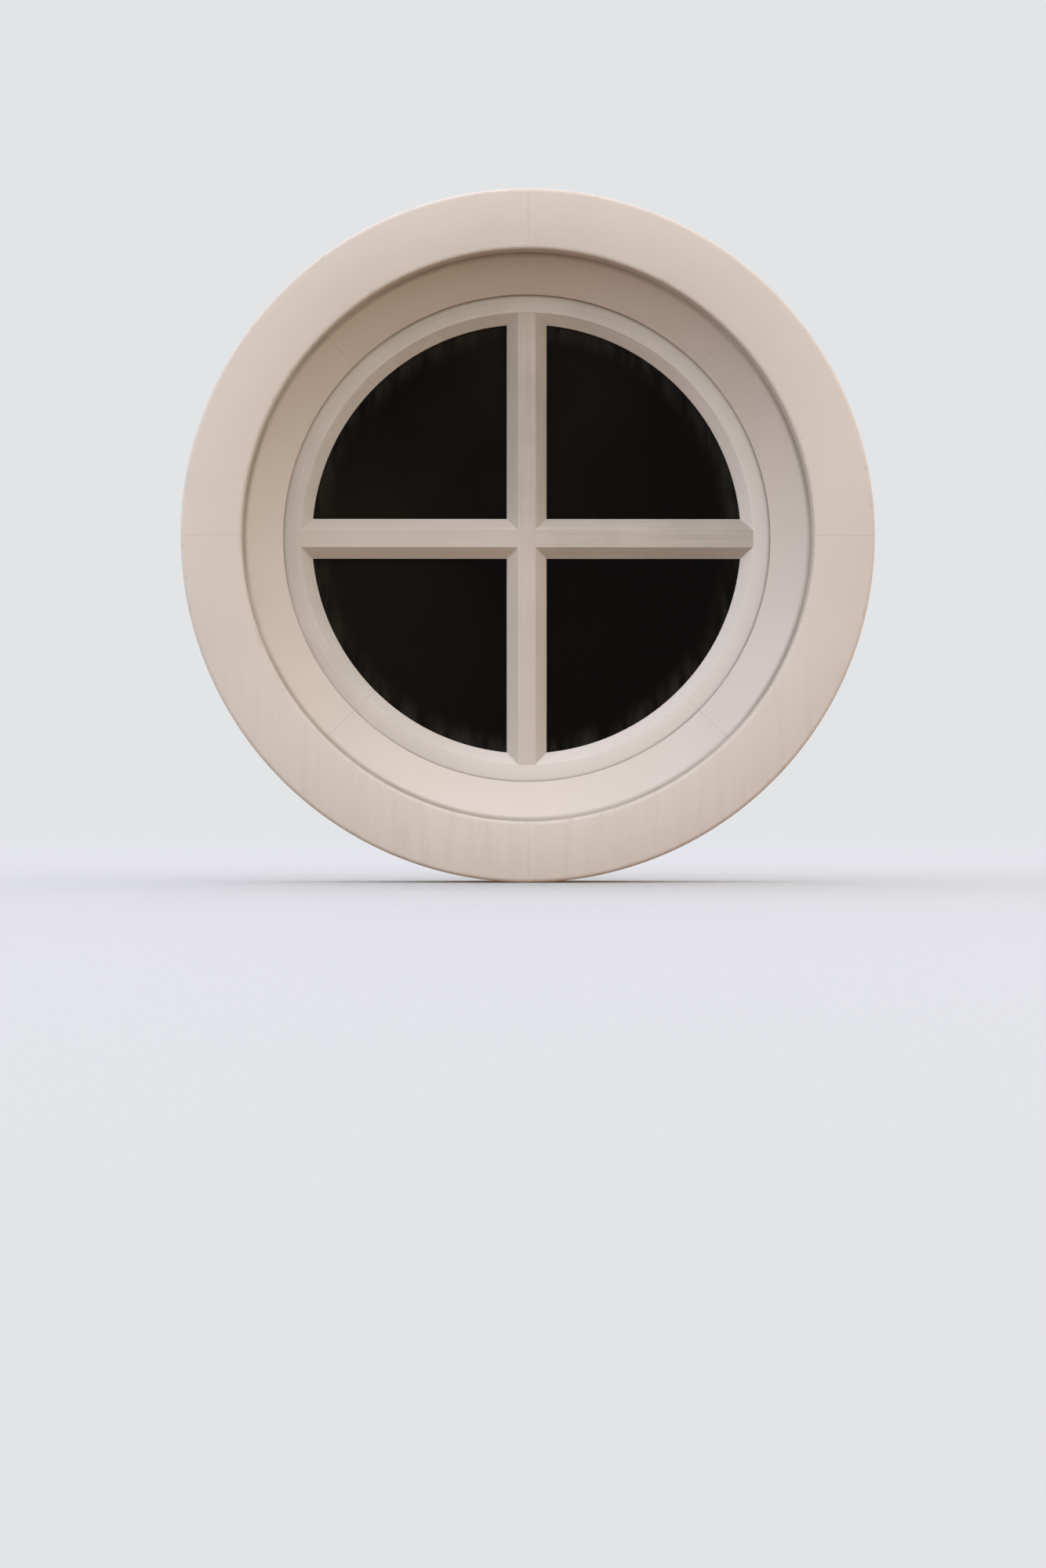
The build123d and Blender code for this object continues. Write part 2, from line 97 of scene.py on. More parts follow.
class Graph:
    # Adds nodes to a material's, a world's or a shape's tree
    def __init__(self, tree):
        self.tree = tree
        tree.nodes.clear()

    def socketOf(self, sockets, key):
        if isinstance(key, int):
            return sockets[key]
        named = [s for s in sockets if s.identifier == key] or [s for s in sockets if s.name == key]
        return named[0]

    def add(self, kind, settings=None, inputs=None, output=0):
        node = self.tree.nodes.new(kind)
        for name, value in (settings or {}).items():
            setattr(node, name, value)
        for key, value in (inputs or {}).items():
            socket = self.socketOf(node.inputs, key)
            for one in value if isinstance(value, list) else [value]:
                if isinstance(one, Wire):
                    self.tree.links.new(one.socket, socket)
                else:
                    socket.default_value = one
        return Wire(self, self.socketOf(node.outputs, output)) if len(node.outputs) else node

    def maths(self, operation, first, second=0.0):
        return self.add("ShaderNodeMath", {"operation": operation}, {0: first, 1: second})

    def vectors(self, operation, first, second):
        return self.add("ShaderNodeVectorMath", {"operation": operation}, {0: first, 1: second})

    def split(self, vector):
        node = self.tree.nodes.new("ShaderNodeSeparateXYZ")
        self.tree.links.new(vector.socket, node.inputs[0])
        return [Wire(self, socket) for socket in node.outputs]

    def join(self, x, y, z):
        return self.add("ShaderNodeCombineXYZ", inputs={0: x, 1: y, 2: z})

    def noise(self, vector, scale, detail=3.0, roughness=0.5):
        sizes = {"Vector": vector, "Scale": scale, "Detail": detail, "Roughness": roughness}
        return self.add("ShaderNodeTexNoise", inputs=sizes)

    def cells(self, vector, scale, output):
        sizes = {"Vector": vector, "Scale": scale}
        return self.add("ShaderNodeTexVoronoi", inputs=sizes, output=output)

    def smooth(self, value, low, high, bottom=0.0, top=1.0):
        # Runs smoothly from bottom to top while the value goes from low to high
        limits = {"From Min": low, "From Max": high, "To Min": bottom, "To Max": top}
        kind = {"interpolation_type": "SMOOTHSTEP"}
        return self.add("ShaderNodeMapRange", kind, {"Value": value, **limits})

    def blend(self, factor, first, second, how="MIX"):
        kind = {"data_type": "RGBA", "blend_type": how}
        colours = {"Factor_Float": factor, "A_Color": first, "B_Color": second}
        return self.add("ShaderNodeMix", kind, colours, "Result_Color")

    def bump(self, height, strength, distance):
        values = {"Height": height, "Strength": strength, "Distance": distance}
        return self.add("ShaderNodeBump", inputs=values)


class ShapeGraph(Graph):
    # A Geometry Nodes tree with named inputs
    def __init__(self, name, inputs):
        super().__init__(bpy.data.node_groups.new(name, "GeometryNodeTree"))
        sockets = {"Base": "Geometry", **inputs, "Finish": "Material"}
        for label, kind in sockets.items():
            self.tree.interface.new_socket(label, in_out="INPUT", socket_type="NodeSocket" + kind)
        self.tree.interface.new_socket("Shape", in_out="OUTPUT", socket_type="NodeSocketGeometry")
        given = self.tree.nodes.new("NodeGroupInput")
        self.given = {socket.name: Wire(self, socket) for socket in given.outputs if socket.name}

    def store(self, shape, name, kind, value):
        inputs = {"Geometry": shape, "Name": name, "Value": value}
        return self.add("GeometryNodeStoreNamedAttribute", {"data_type": kind}, inputs)

    def read(self, name, kind):
        return self.add("GeometryNodeInputNamedAttribute", {"data_type": kind}, {"Name": name})

    def outline(self):
        # The base as a curve that remembers its own places
        curve = self.add("GeometryNodeMeshToCurve", inputs={"Mesh": self.given["Base"]})
        return self.store(curve, "section", "FLOAT_VECTOR", self.add("GeometryNodeInputPosition"))

    def withShare(self, path):
        # Marks how much of the path is behind each point
        share = self.add("GeometryNodeSplineParameter", output="Factor")
        return self.store(path, "share", "FLOAT", share)

    def moved(self, shape, height):
        place = self.join(0.0, 0.0, height)
        return self.add("GeometryNodeTransform", inputs={"Geometry": shape, "Translation": place})

    def end(self, shape):
        real = self.add("GeometryNodeRealizeInstances", inputs={"Geometry": shape})
        done = self.add(
            "GeometryNodeSetMaterial", inputs={"Geometry": real, "Material": self.given["Finish"]}
        )
        result = self.tree.nodes.new("NodeGroupOutput")
        self.tree.links.new(done.socket, result.inputs[0])


# Finishes

def startFinish(name):
    material = bpy.data.materials.new(name)
    material.use_nodes = True
    return material, Graph(material.node_tree)


def endFinish(graph, inputs):
    surface = graph.add("ShaderNodeBsdfPrincipled", inputs=inputs)
    result = graph.tree.nodes.new("ShaderNodeOutputMaterial")
    graph.tree.links.new(surface.socket, result.inputs["Surface"])


def objectPlace(graph):
    return graph.add("ShaderNodeTexCoord", output="Object")


def readMark(graph, name, output):
    return graph.add("ShaderNodeAttribute", {"attribute_name": name}, output=output)


paint = {
    "colour": (0.640, 0.558, 0.496, 1.0),
    "pale": (0.672, 0.590, 0.530, 1.0),
    "fresh": (0.720, 0.660, 0.618, 1.0),
    "sashFreshnessAndLight": 0.75,
    # Colour of dirt, and of the painted shade on the jamb, sash and bars
    "grime": (0.300, 0.262, 0.205, 1.0),
    "undercoat": (0.520, 0.470, 0.405, 1.0),
    "primer": (0.545, 0.500, 0.430, 1.0),
    "grainLine": (0.370, 0.290, 0.200, 1.0),
    "strokeWidth": 0.0022,
    "strokeLength": 0.11,
    "roughness": 0.46,
}


def sweptGrain(graph):
    # The place along the timber, across it and its depth, as marked on a swept piece
    return graph.split(readMark(graph, "grain", "Vector"))


def levelGrain(graph):
    x, y, z = graph.split(objectPlace(graph))
    return x, z, y


def uprightGrain(graph):
    x, y, z = graph.split(objectPlace(graph))
    return z, x, y


def paintFinish(name, grainOf, dirtAndShadeAt=None, primerAt=None, fresh=0.0):
    # Satin paint with brush marks along the timber. The two masks take the place across the timber
    # and its depth: the first gives how much dirt and painted shade shows there, the second how
    # much bare primer.
    material, graph = startFinish(name)
    arris = readMark(graph, "arris", "Fac")
    along, across, depth = grainOf(graph)
    place = objectPlace(graph)
    width, length = paint["strokeWidth"], paint["strokeLength"]
    strokes = graph.noise(graph.join(along / length, across / width, depth / width), 1.0, 4.0, 0.62)
    hairs = graph.noise(graph.join(along * 22.0, across * 1900.0, depth * 1900.0), 1.0, 2.0)
    patches = graph.noise(place, 7.0, 4.0, 0.55)
    specks = graph.noise(place, 420.0, 3.0, 0.6)
    colour = graph.blend(graph.smooth(patches, 0.3, 0.72), paint["colour"], paint["pale"])
    colour = graph.blend(graph.smooth(strokes, 0.35, 0.75, 0.0, 0.22), colour, paint["pale"])
    # A paler, fresher white; on the sash it is also painted light, which the painted shade of its
    # film takes back down towards the upper left
    colour = graph.blend(fresh, colour, paint["fresh"])
    dirtAndShade = graph.smooth(specks, 0.64, 0.76, 0.0, 0.1)
    if dirtAndShadeAt:
        # Dirt, and on the jamb, sash and bars painted shade as well
        settledDirtAndShade = dirtAndShadeAt(graph, across, depth)
        settledDirtAndShade = settledDirtAndShade * graph.smooth(patches + 0.35 * strokes, 0.42, 0.86, 0.35, 1.0)
        dirtAndShade = graph.maths("MAXIMUM", dirtAndShade, settledDirtAndShade)
    # Dirt and painted shade take the paint towards the grime colour
    colour = graph.blend(dirtAndShade, colour, paint["grime"])
    worn = arris * graph.smooth(graph.noise(place, 64.0, 5.0, 0.7), 0.57, 0.65, 0.0, 0.6)
    colour = graph.blend(worn, colour, paint["undercoat"])
    roughness = paint["roughness"] + 0.16 * (strokes - 0.5) + 0.2 * dirtAndShade + 0.15 * worn
    relief = strokes + 0.35 * hairs - 0.5 * worn
    if primerAt:
        bare = primerAt(graph, across, depth)
        rings = graph.noise(graph.join(along * 5.0, across * 240.0, depth * 240.0), 1.0, 5.0, 0.6)
        lines = graph.smooth(rings, 0.46, 0.62)
        primed = graph.blend(0.45 * lines, paint["primer"], paint["grainLine"])
        colour = graph.blend(bare, colour, primed)
        roughness = roughness + 0.22 * bare
        relief = relief - 0.8 * bare * lines
    normal = graph.bump(relief, 0.55, 0.00022)
    endFinish(graph, {"Base Color": colour, "Roughness": roughness, "Normal": normal, "IOR": 1.5})
    return material


# Where dirt, painted shade and primer start and end, as radii or depths in metres
weatheringAndShade = {
    "quirkRadius": (0.2705, 0.2742),
    "quirkDepth": (0.0305, 0.0325),
    "rimRadius": (0.3340, 0.3347),
    "jambRimDepth": (0.0275, 0.0295),
    "faceRimDepth": (0.0015, 0.0035),
    "noseRadius": (0.2350, 0.2382),
    "noseDepth": (0.070, 0.074),
    "sashFrontDepth": (0.0818, 0.0830),
    "barBevelDepth": (0.0785, 0.0815),
    "barFrontDepth": (0.0838, 0.0846),
    "quirkDirtAndShade": 0.7,
    "noseDirtAndShade": 0.65,
    "streaks": (0.08, 0.25),
    # How strong the painted shade is on the sash and on the bars
    "sashFilm": 0.45,
    "barFilm": (0.16, 0.56),
    "barShadeAlongGlass": 0.25,
    "barShadeOnRight": 0.36,
}


def jambDirtAndShade(graph, across, depth):
    # Dirt and painted shade in the quirk behind the face ring's inner edge
    inside = graph.smooth(across, *weatheringAndShade["quirkRadius"], 0.0, weatheringAndShade["quirkDirtAndShade"])
    return inside * graph.smooth(depth, *weatheringAndShade["quirkDepth"], 1.0, 0.0)


def jambPrimer(graph, across, depth):
    # The rim is hidden once the window is built in, so it only has primer
    rim = graph.smooth(across, *weatheringAndShade["rimRadius"])
    return rim * graph.smooth(depth, *weatheringAndShade["jambRimDepth"])


def faceGrime(graph, across, depth):
    # Rain streaks, more of them the lower they are
    x, y, z = graph.split(objectPlace(graph))
    streaks = graph.noise(graph.join(x * 95.0, 0.0, z * 9.0), 1.0, 5.0, 0.65)
    lower = graph.smooth(z, -0.33, 0.06, 1.0, 0.0)
    return lower * graph.smooth(streaks, 0.42, 0.74, *weatheringAndShade["streaks"])


def facePrimer(graph, across, depth):
    rim = graph.smooth(across, *weatheringAndShade["rimRadius"])
    return rim * graph.smooth(depth, *weatheringAndShade["faceRimDepth"])


def sashDirtAndShade(graph, across, depth):
    # Dirt and painted shade where the nose of the jamb meets the front of the sash, and a thin
    # painted shade on its front that grows towards the upper left
    x, y, z = graph.split(objectPlace(graph))
    corner = graph.smooth(across, *weatheringAndShade["noseRadius"], 0.0, weatheringAndShade["noseDirtAndShade"])
    corner = corner * graph.smooth(depth, *weatheringAndShade["noseDepth"], 1.0, 0.0)
    # Painted shade: the front of the sash darker towards the upper left
    paintedShade = graph.smooth(z * 0.8 - x, -0.24, 0.16, 0.0, weatheringAndShade["sashFilm"])
    paintedShade = paintedShade * graph.smooth(depth, *weatheringAndShade["sashFrontDepth"], 1.0, 0.0)
    return graph.maths("MAXIMUM", corner, paintedShade)


def barPaintedShade(graph, across, depth):
    # Painted shade: a grey film on the front of the bars, darker towards the top under the reveal,
    # along the glass and on the right, where less light reaches
    x, y, z = graph.split(objectPlace(graph))
    paintedShade = graph.smooth(depth, *weatheringAndShade["barBevelDepth"], 0.0, weatheringAndShade["barShadeAlongGlass"])
    paintedShade = paintedShade + graph.smooth(z, -0.16, 0.17, *weatheringAndShade["barFilm"])
    paintedShade = paintedShade + graph.smooth(x, -0.12, 0.12, 0.0, weatheringAndShade["barShadeOnRight"])
    return paintedShade * graph.smooth(depth, *weatheringAndShade["barFrontDepth"], 1.0, 0.0)


facePaint = paintFinish("facePaint", sweptGrain, faceGrime, facePrimer)
jambPaint = paintFinish("jambPaint", sweptGrain, jambDirtAndShade, jambPrimer)
# The sash is painted paler, partly as painted light
sashPaint = paintFinish("sashPaint", sweptGrain, sashDirtAndShade, fresh=paint["sashFreshnessAndLight"])
# The bars' paint carries painted shade
barPaint = paintFinish("barPaint", sweptGrain, barPaintedShade)
levelPaint = paintFinish("levelPaint", levelGrain)
uprightPaint = paintFinish("uprightPaint", uprightGrain)

glass = {
    # The near-black is painted shade for the dark room behind, the warm tint a painted faint
    # reflection
    "dark": (0.0022, 0.0012, 0.0008, 1.0),
    "warm": (0.0085, 0.0062, 0.0034, 1.0),
    "dust": (0.060, 0.052, 0.042, 1.0),
    "specular": 0.055,
    "dustRadius": (0.188, 0.212),
    "dustAtEdge": 0.35,
    "specks": 0.3,
}


def glassFinish():
    # Glass in front of a dark room, painted near-black for the room's shade, with a painted faint
    # warm reflection towards the upper left, faint waves, smears and dust towards the rim
    material, graph = startFinish("darkGlass")
    place = objectPlace(graph)
    x, y, z = graph.split(place)
    radius = graph.maths("SQRT", x * x + z * z)
    drift = graph.noise(place, 5.5, 3.0, 0.5)
    lean = graph.smooth(z - x, -0.25, 0.3, 0.0, 0.8)
    reflectionAmount = graph.maths("MINIMUM", lean * graph.smooth(drift, 0.3, 0.65), 1.0)
    # Painted reflection: the near-black turns faintly warm and lighter towards the upper left
    colour = graph.blend(reflectionAmount, glass["dark"], glass["warm"])
    smears = graph.noise(graph.join(x * 60.0, y, z * 14.0), 1.0, 4.0, 0.65)
    specks = graph.noise(place, 900.0, 2.0, 0.5)
    edge = graph.smooth(radius, *glass["dustRadius"], 0.0, glass["dustAtEdge"])
    edge = edge * graph.smooth(smears, 0.35, 0.7)
    dust = graph.maths("MAXIMUM", edge, graph.smooth(specks, 0.70, 0.78, 0.0, glass["specks"]))
    colour = graph.blend(dust, colour, glass["dust"])
    roughness = 0.035 + 0.09 * graph.smooth(smears, 0.5, 0.8) + 0.45 * dust
    waves = graph.noise(place, 9.0, 2.0, 0.4)
    normal = graph.bump(waves, 0.25, 0.0006)
    values = {"Base Color": colour, "Roughness": roughness, "Normal": normal}
    endFinish(graph, {**values, "IOR": 1.5, "Specular IOR Level": glass["specular"]})
    return material


def metalFinish(name, colour, stain, roughness, spangle=0.0):
    # Plated steel or aluminium: stained in patches, finely scratched, with zinc crystals if wanted
    material, graph = startFinish(name)
    place = objectPlace(graph)
    patches = graph.noise(place, 60.0, 4.0, 0.6)
    scratches = graph.noise(place, 900.0, 3.0, 0.7)
    mixed = graph.blend(graph.smooth(patches, 0.35, 0.7), colour, stain)
    rough = roughness + 0.2 * (patches - 0.5) + 0.12 * (scratches - 0.5)
    if spangle:
        cells = graph.cells(place, 170.0, "Color")
        crystal = graph.split(cells)[0]
        shade = tuple(channel * (1.0 - spangle) for channel in colour[:3]) + (1.0,)
        mixed = graph.blend(crystal, mixed, shade)
        rough = rough + 0.22 * (crystal - 0.5)
    normal = graph.bump(scratches, 0.3, 0.00005)
    endFinish(graph, {"Base Color": mixed, "Roughness": rough, "Metallic": 1.0, "Normal": normal})
    return material


def dullFinish(name, colour, bloom, roughness, cellSize=0.0):
    # Rubber, foam, sealant or plastic: matt, with a bloom in patches, and pores with painted shade
    # in them if wanted
    material, graph = startFinish(name)
    place = objectPlace(graph)
    patches = graph.noise(place, 45.0, 4.0, 0.6)
    fine = graph.noise(place, 1500.0, 2.0, 0.6)
    relief = fine
    mixed = graph.blend(graph.smooth(patches, 0.4, 0.75), colour, bloom)
    if cellSize:
        pores = graph.cells(place, 1.0 / cellSize, "Distance")
        relief = relief - 1.5 * graph.smooth(pores, 0.0, 0.5, 1.0, 0.0)
        # Painted shade in the pores
        mixed = graph.blend(graph.smooth(pores, 0.1, 0.35, 0.5, 0.0), mixed, colour, "MULTIPLY")
    rough = roughness + 0.15 * (patches - 0.5) + 0.1 * (fine - 0.5)
    normal = graph.bump(relief, 0.4, 0.0001)
    endFinish(graph, {"Base Color": mixed, "Roughness": rough, "Normal": normal})
    return material


timber = {"early": (0.60, 0.41, 0.22, 1.0), "late": (0.40, 0.23, 0.10, 1.0), "roughness": 0.62}


def timberFinish():
    material, graph = startFinish("bareTimber")
    x, y, z = graph.split(objectPlace(graph))
    wavy = graph.noise(graph.join(x * 8.0, y * 8.0, z * 8.0), 1.0, 2.0)
    rings = graph.noise(graph.join(x * 14.0, y * 260.0 + 3.0 * wavy, z * 260.0), 1.0, 5.0, 0.6)
    line = graph.smooth(rings, 0.42, 0.64)
    colour = graph.blend(line, timber["early"], timber["late"])
    roughness = timber["roughness"] + 0.15 * line
    normal = graph.bump(rings, 0.4, 0.0002)
    endFinish(graph, {"Base Color": colour, "Roughness": roughness, "Normal": normal})
    return material


# Each has its colour, the colour of its patches, its roughness, and crystals or pores if it has any
plain = {
    "spacer": ((0.62, 0.63, 0.64, 1.0), (0.50, 0.51, 0.52, 1.0), 0.38),
    "sealant": ((0.012, 0.012, 0.012, 1.0), (0.03, 0.03, 0.03, 1.0), 0.55),
    "tape": ((0.52, 0.49, 0.45, 1.0), (0.60, 0.57, 0.52, 1.0), 0.85, 0.0007),
    "block": ((0.05, 0.11, 0.26, 1.0), (0.08, 0.15, 0.30, 1.0), 0.42),
    "rubber": ((0.018, 0.018, 0.019, 1.0), (0.045, 0.045, 0.045, 1.0), 0.62),
    "pin": ((0.58, 0.56, 0.52, 1.0), (0.42, 0.37, 0.31, 1.0), 0.34),
    "screw": ((0.74, 0.62, 0.36, 1.0), (0.60, 0.57, 0.46, 1.0), 0.32),
    "galvanised": ((0.60, 0.62, 0.64, 1.0), (0.52, 0.54, 0.56, 1.0), 0.42, 0.24),
}
slotFinishes = {
    "glass": glassFinish(),
    "bare_timber": timberFinish(),
    "spacer_aluminium": metalFinish("spacerAluminium", *plain["spacer"]),
    "edge_sealant": dullFinish("edgeSealant", *plain["sealant"]),
    "glazing_tape": dullFinish("glazingTape", *plain["tape"]),
    "block_plastic": dullFinish("blockPlastic", *plain["block"]),
    "seal_rubber": dullFinish("sealRubber", *plain["rubber"]),
    "pin_steel": metalFinish("pinSteel", *plain["pin"]),
    "screw_steel": metalFinish("screwSteel", *plain["screw"]),
    "galvanised_steel": metalFinish("galvanisedSteel", *plain["galvanised"]),
}
print("finishes made")

# Shapes. Base is an outline of width or radius and depth, and the sweeps place its copies anew.
endShare = 0.0012  # how much of a ring segment its first and last steps take
mergeDistance = 0.000001


def ringSweepGraph():
    # Sweeps an outline round the window's axis. End Gap leaves flat, parallel ends. The first and
    # last steps are short, so that the shading of the ends stays close to them.
    floats = {name: "Float" for name in ("Start", "Span", "End Gap")}
    graph = ShapeGraph("ringSweep", {**floats, "Steps": "Int", "Capped": "Bool"})
    given = graph.given
    outline = graph.outline()
    path = graph.add("GeometryNodeCurvePrimitiveLine", inputs={"End": (0.0, 0.0, 1.0)})
    count = {"Curve": path, "Count": given["Steps"] + 1}
    path = graph.withShare(graph.add("GeometryNodeResampleCurve", {"mode": "COUNT"}, count))
    swept = graph.add(
        "GeometryNodeCurveToMesh",
        inputs={"Curve": path, "Profile Curve": outline, "Fill Caps": given["Capped"]},
    )
    radius, depth, unused = graph.split(graph.read("section", "FLOAT_VECTOR"))
    inset = graph.maths("ARCSINE", given["End Gap"] / radius)
    step = 1.0 / given["Steps"]
    spread = {
        "Value": graph.read("share", "FLOAT"),
        "From Min": step,
        "From Max": 1.0 - step,
        "To Min": endShare,
        "To Max": 1.0 - endShare,
    }
    share = graph.add("ShaderNodeMapRange", {"clamp": False}, spread)
    share = graph.maths("MINIMUM", graph.maths("MAXIMUM", share, 0.0), 1.0)
    turn = given["Start"] + inset + share * (given["Span"] - 2.0 * inset)
    place = graph.join(
        radius * graph.maths("SINE", turn), depth, radius * graph.maths("COSINE", turn)
    )
    bent = graph.add("GeometryNodeSetPosition", inputs={"Geometry": swept, "Position": place})
    merged = {"Geometry": bent, "Distance": mergeDistance}
    graph.end(graph.add("GeometryNodeMergeByDistance", inputs=merged))
    return graph


def barSweepGraph():
    # Runs an outline straight along a direction
    inputs = {"Along": "Vector", "Across": "Vector", "From": "Float", "To": "Float"}
    graph = ShapeGraph("barSweep", inputs)
    given = graph.given
    outline = graph.outline()
    path = graph.add("GeometryNodeCurvePrimitiveLine", inputs={"End": (0.0, 0.0, 1.0)})
    path = graph.withShare(path)
    swept = graph.add(
        "GeometryNodeCurveToMesh",
        inputs={"Curve": path, "Profile Curve": outline, "Fill Caps": True},
    )
    width, depth, unused = graph.split(graph.read("section", "FLOAT_VECTOR"))
    reach = given["From"] + graph.read("share", "FLOAT") * (given["To"] - given["From"])
    along = graph.vectors("MULTIPLY", given["Along"], graph.join(reach, reach, reach))
    across = graph.vectors("MULTIPLY", given["Across"], graph.join(width, width, width))
    place = graph.vectors("ADD", graph.vectors("ADD", along, across), graph.join(0.0, depth, 0.0))
    graph.end(graph.add("GeometryNodeSetPosition", inputs={"Geometry": swept, "Position": place}))
    return graph


def direction(turn):
    # Outward from the axis at a turn in degrees, clockwise from the top as seen from outside
    return Vector((math.sin(math.radians(turn)), 0.0, math.cos(math.radians(turn))))


def roundedOutline(corners, arcSteps=5, holdWidth=0.8):
    # Corners are (across, depth, rounding) in millimetres. Each rounding ends in a close pair of
    # points that keeps the flats beside it flat. The second list marks the rounded points.
    points, arris = [], []
    count = len(corners)
    for index, (across, depth, rounding) in enumerate(corners):
        corner = Vector((across, depth))
        if not rounding:
            points.append(corner)
            arris.append(0.0)
            continue
        before = (Vector(corners[index - 1][:2]) - corner).normalized()
        after = (Vector(corners[(index + 1) % count][:2]) - corner).normalized()
        half = before.angle(after) / 2
        trim = rounding / math.tan(half)
        centre = corner + (before + after).normalized() * (rounding / math.sin(half))
        start = (corner + before * trim - centre).normalized()
        finish = (corner + after * trim - centre).normalized()
        points.append(corner + before * (trim + holdWidth))
        arris.append(0.0)
        for step in range(arcSteps + 1):
            points.append(centre + start.slerp(finish, step / arcSteps) * rounding)
            arris.append(1.0)
        points.append(corner + after * (trim + holdWidth))
        arris.append(0.0)
    return points, arris


def outlineMesh(name, corners, arcSteps=5, holdWidth=0.8):
    points, arris = roundedOutline(corners, arcSteps, holdWidth)
    mesh = bpy.data.meshes.new(name)
    edges = [(index, (index + 1) % len(points)) for index in range(len(points))]
    mesh.from_pydata([(point.x * mm, point.y * mm, 0.0) for point in points], edges, [])
    mesh.attributes.new("arris", "FLOAT", "POINT").data.foreach_set("value", arris)
    return mesh


sharpAngle = 32  # in degrees
arrisAngle = 50


def settle(piece):
    # Turns what the modifiers make into a plain mesh, with its doubles merged and its faces outward
    depsgraph = bpy.context.evaluated_depsgraph_get()
    mesh = bpy.data.meshes.new_from_object(
        piece.evaluated_get(depsgraph), preserve_all_data_layers=True, depsgraph=depsgraph
    )
    piece.modifiers.clear()
    piece.data = mesh
    shell = bmesh.new()
    shell.from_mesh(mesh)
    bmesh.ops.remove_doubles(shell, verts=shell.verts, dist=2 * mergeDistance)
    bmesh.ops.recalc_face_normals(shell, faces=shell.faces)
    for face in shell.faces:
        face.smooth = True
    shell.to_mesh(mesh)
    shell.free()
    for spare in ("section", "share"):
        if spare in mesh.attributes:
            mesh.attributes.remove(mesh.attributes[spare])
    mesh.set_sharp_from_angle(angle=math.radians(sharpAngle))


def shape(name, base, graph, values, cuts=(), arrisWidth=0.0):
    piece = bpy.data.objects.new(name, base)
    bpy.context.scene.collection.objects.link(piece)
    nodes = piece.modifiers.new("shape", "NODES")
    nodes.node_group = graph.tree
    for item in graph.tree.interface.items_tree:
        if item.in_out == "INPUT" and item.name in values:
            nodes[item.identifier] = values[item.name]
    if arrisWidth:
        soften = piece.modifiers.new("soften", "BEVEL")
        soften.width = arrisWidth * mm
        soften.segments = 2
        soften.limit_method = "ANGLE"
        soften.angle_limit = math.radians(arrisAngle)
        soften.use_clamp_overlap = False
    for cutter in cuts:
        cut = piece.modifiers.new("cut", "BOOLEAN")
        cut.operation = "DIFFERENCE"
        cut.solver = "EXACT"
        cut.object = cutter
    settle(piece)
    return piece


def layRingGrain(piece, middle):
    # Marks each point with its place along the ring, its radius and its depth
    mesh = piece.data
    outward, sideways = direction(middle), direction(middle + 90)
    grain = mesh.attributes.new("grain", "FLOAT_VECTOR", "POINT")
    for vertex, mark in zip(mesh.vertices, grain.data):
        radius = math.hypot(vertex.co.x, vertex.co.z)
        turn = math.atan2(vertex.co.dot(sideways), vertex.co.dot(outward))
        mark.vector = (turn * radius + middle * 0.013, radius, vertex.co.y)


def layBarGrain(piece, along, across):
    # A bar cut with another one has that one's grain, which is written over here
    mesh = piece.data
    grain = mesh.attributes.get("grain") or mesh.attributes.new("grain", "FLOAT_VECTOR", "POINT")
    for vertex, mark in zip(mesh.vertices, grain.data):
        mark.vector = (vertex.co.dot(along), vertex.co.dot(across), vertex.co.y)


def camelName(words):
    first, *rest = words.split("_")
    return first + "".join(word.capitalize() for word in rest)


def finishPiece(piece, slot, *nodes):
    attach(piece, "root")
    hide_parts(*nodes)


ringSweep = ringSweepGraph()
barSweep = barSweepGraph()

# Turns in degrees, and the sizes in millimetres that the frame's own boxes give
quadrantTurns = {"upper_right": 0, "lower_right": 90, "lower_left": 180, "upper_left": 270}
sideTurns = {"top": 0, "right": 90, "bottom": 180, "left": 270}


def boxSize(node, corner, axis):
    return round(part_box(node)[corner][axis] / mm, 2)


rimRadius = boxSize("face_ring_upper_right", 1, 0)
faceFront = boxSize("face_ring_upper_right", 0, 1)
ringJoint = boxSize("face_ring_upper_right", 1, 1)
jambBack = boxSize("jamb_top", 1, 1)
sashFront = boxSize("sash_top", 0, 1)
sashBack = boxSize("sash_top", 1, 1)


def ringSegments(stem, turns, lead, outline, finish, details, cutsFor=None):
    # The quarter segments of one ring, each from its own turn less lead
    for side, turn in turns.items():
        node = stem + "_" + side
        cuts = cutsFor(turn) if cutsFor else []
        values = {
            "Start": math.radians(turn - lead),
            "Span": math.pi / 2,
            "End Gap": details["endGap"] * mm,
            "Steps": details["steps"],
            "Capped": True,
            "Finish": finish,
        }
        piece = shape(camelName(node), outline.copy(), ringSweep, values, cuts, details["arris"])
        layRingGrain(piece, turn - lead + 45)
        finishPiece(piece, "painted_timber", node)
        for cutter in cuts:
            bpy.data.objects.remove(cutter)


faceRing = {
    "innerRadius": 276.0,
    "crown": 2.0,
    "crownSteps": 12,
    "edgeRounding": 4.0,
    "backRounding": 0.6,
    "steps": 60,
    "endGap": 0.03,
    "arris": 0.09,
}


